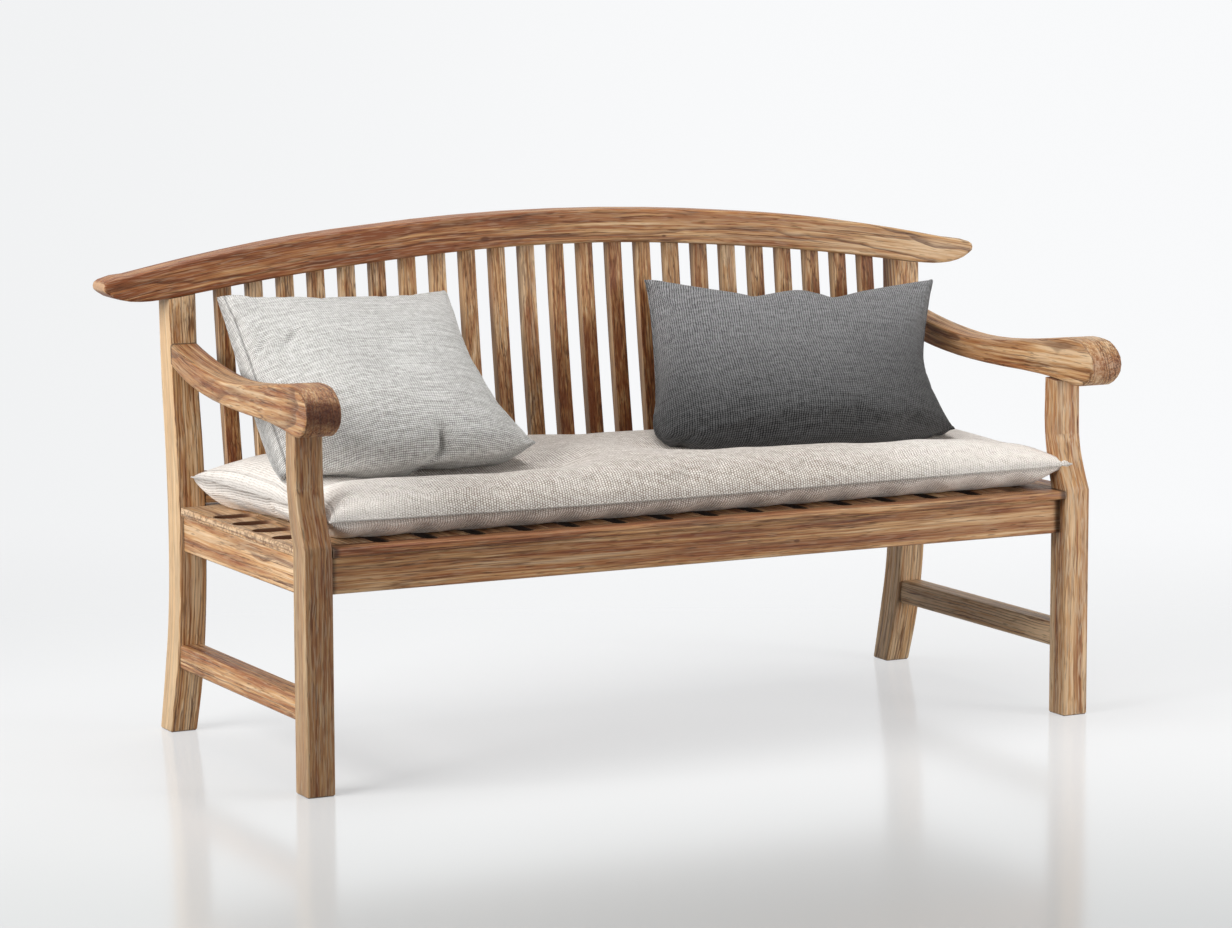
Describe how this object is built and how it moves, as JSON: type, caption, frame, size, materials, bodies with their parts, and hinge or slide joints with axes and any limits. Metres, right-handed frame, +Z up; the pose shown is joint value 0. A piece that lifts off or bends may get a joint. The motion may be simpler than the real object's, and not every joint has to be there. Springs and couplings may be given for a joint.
{
  "type": "garden bench",
  "caption": "Slatted wooden garden bench with a curved crest rail, scrolled arms, a long seat pad and loose scatter pillows.",
  "frame": {"origin": "on the floor, under the middle of the whole bench's box", "axes": "+X along the bench, towards the arm on the right as seen from the front; +Y from front to back; +Z up"},
  "size_m": [1.8532, 0.7713, 0.945],
  "materials": {
    "frame_timber": "oiled hardwood, satin",
    "slat_timber": "oiled hardwood, satin",
    "seat_timber": "oiled hardwood, satin",
    "pad_fabric": "slubbed linen weave, matte",
    "light_pillow_fabric": "linen weave, matte",
    "dark_pillow_fabric": "basket weave, matte"
  },
  "bodies": {
    "root": {"crest_rail": "frame_timber", "lower_back_rail": "frame_timber", "front_rail": "frame_timber", "rear_seat_rail": "frame_timber", "seat_middle_rail": "frame_timber", "rear_leg_left": "frame_timber", "rear_leg_right": "frame_timber", "front_leg_left": "frame_timber", "front_leg_right": "frame_timber", "arm_left": "frame_timber", "arm_right": "frame_timber", "side_rail_left": "frame_timber", "side_rail_right": "frame_timber", "stretcher_left": "frame_timber", "stretcher_right": "frame_timber", "back_slat_01": "slat_timber", "back_slat_02": "slat_timber", "back_slat_03": "slat_timber", "back_slat_04": "slat_timber", "back_slat_05": "slat_timber", "back_slat_06": "slat_timber", "back_slat_07": "slat_timber", "back_slat_08": "slat_timber", "back_slat_09": "slat_timber", "back_slat_10": "slat_timber", "back_slat_11": "slat_timber", "back_slat_12": "slat_timber", "back_slat_13": "slat_timber", "back_slat_14": "slat_timber", "back_slat_15": "slat_timber", "back_slat_16": "slat_timber", "back_slat_17": "slat_timber", "back_slat_18": "slat_timber", "back_slat_19": "slat_timber", "back_slat_20": "slat_timber", "back_slat_21": "slat_timber", "back_slat_22": "slat_timber", "back_slat_23": "slat_timber", "seat_nosing": "seat_timber", "seat_end_board_left": "seat_timber", "seat_end_board_right": "seat_timber", "seat_slat_01": "seat_timber", "seat_slat_02": "seat_timber", "seat_slat_03": "seat_timber", "seat_slat_04": "seat_timber", "seat_slat_05": "seat_timber", "seat_slat_06": "seat_timber", "seat_slat_07": "seat_timber", "seat_slat_08": "seat_timber", "seat_slat_09": "seat_timber", "seat_slat_10": "seat_timber", "seat_slat_11": "seat_timber", "seat_slat_12": "seat_timber", "seat_slat_13": "seat_timber", "seat_slat_14": "seat_timber", "seat_pad": "pad_fabric", "pillow_left": "light_pillow_fabric", "pillow_right": "dark_pillow_fabric"}
  },
  "joints": []
}
